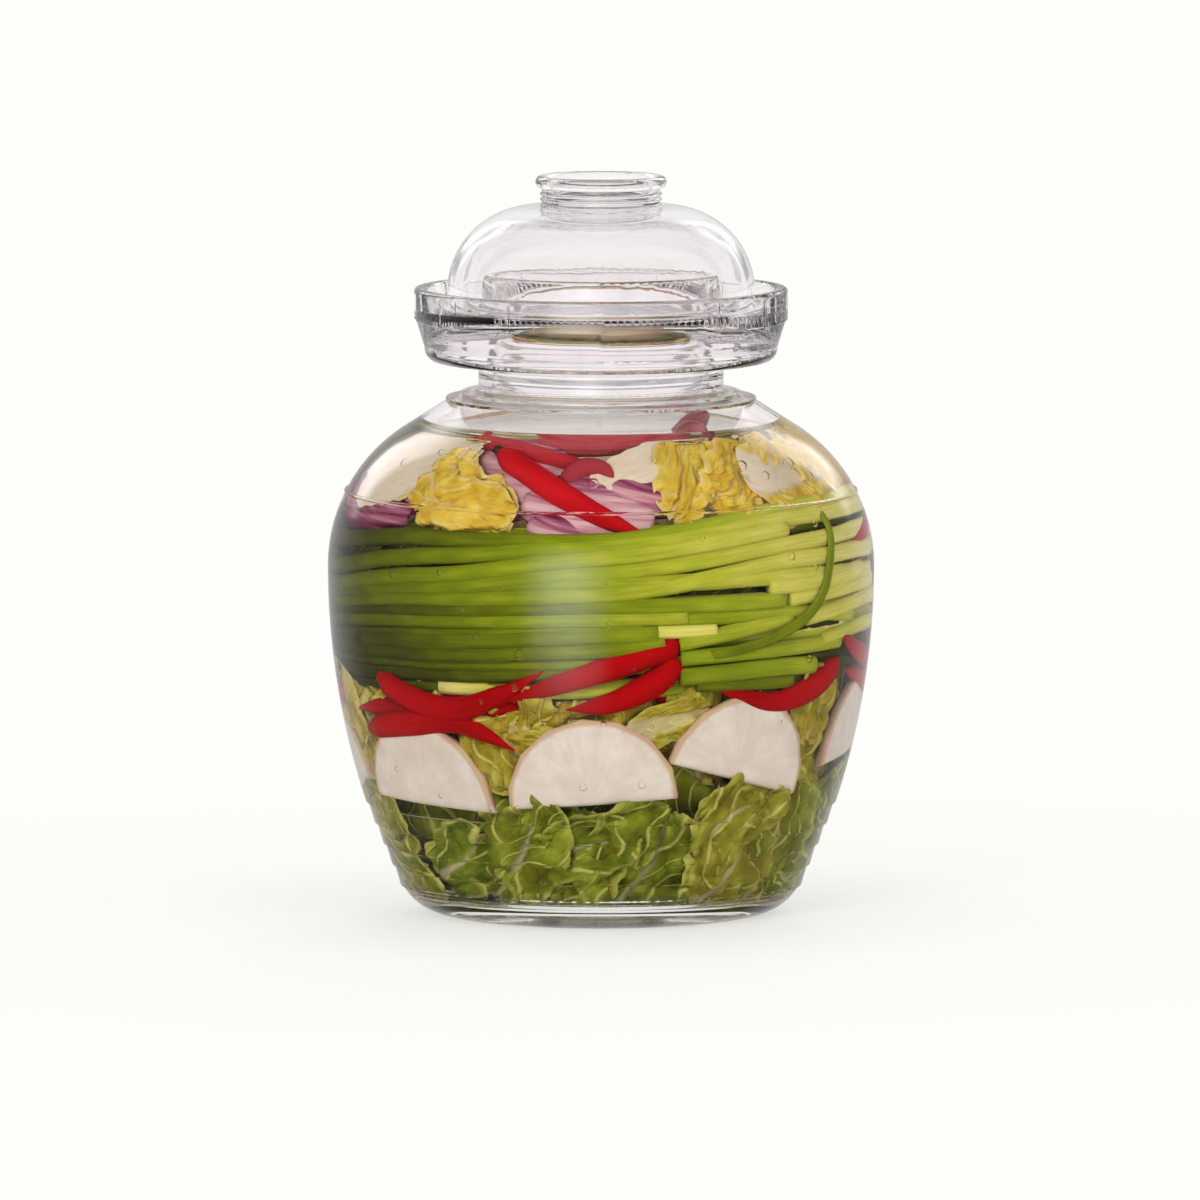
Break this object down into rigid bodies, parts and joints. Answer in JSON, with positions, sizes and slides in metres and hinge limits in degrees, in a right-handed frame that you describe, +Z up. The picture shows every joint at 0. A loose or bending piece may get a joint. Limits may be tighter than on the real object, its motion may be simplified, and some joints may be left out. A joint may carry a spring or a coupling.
{
  "type": "fermentation jar",
  "caption": "Clear glass water-sealed fermentation jar with a moat and a bell lid, full of brine and layered pickled vegetables.",
  "frame": {"origin": "centre of the jar's foot, on the surface it stands on", "axes": "+Z up along the jar's axis, +X to the right and -Y to the front, where the food shows as arranged"},
  "size_m": [0.1702, 0.1702, 0.2297],
  "materials": {
    "jar_glass": "clear pressed soda-lime glass, polished",
    "lid_glass": "clear pressed soda-lime glass, polished",
    "brine": "clear, faintly olive salt brine",
    "seal_water": "clear water",
    "red_chilli": "smooth wet skin",
    "napa_leaf": "wet, ruffled leaf",
    "napa_rib": "wet, pale leaf rib",
    "white_radish": "cut face of white radish with a thin rind",
    "red_onion": "wet onion skin, lilac and purple",
    "garlic_stem": "smooth wet green stem",
    "air_bubble": "air trapped under the glass"
  },
  "bodies": {
    "root": {"jar": "jar_glass", "lid": "lid_glass", "brine": "brine", "seal_water": "seal_water", "long_chilli": "red_chilli", "arched_chilli": "red_chilli"}
  },
  "joints": []
}
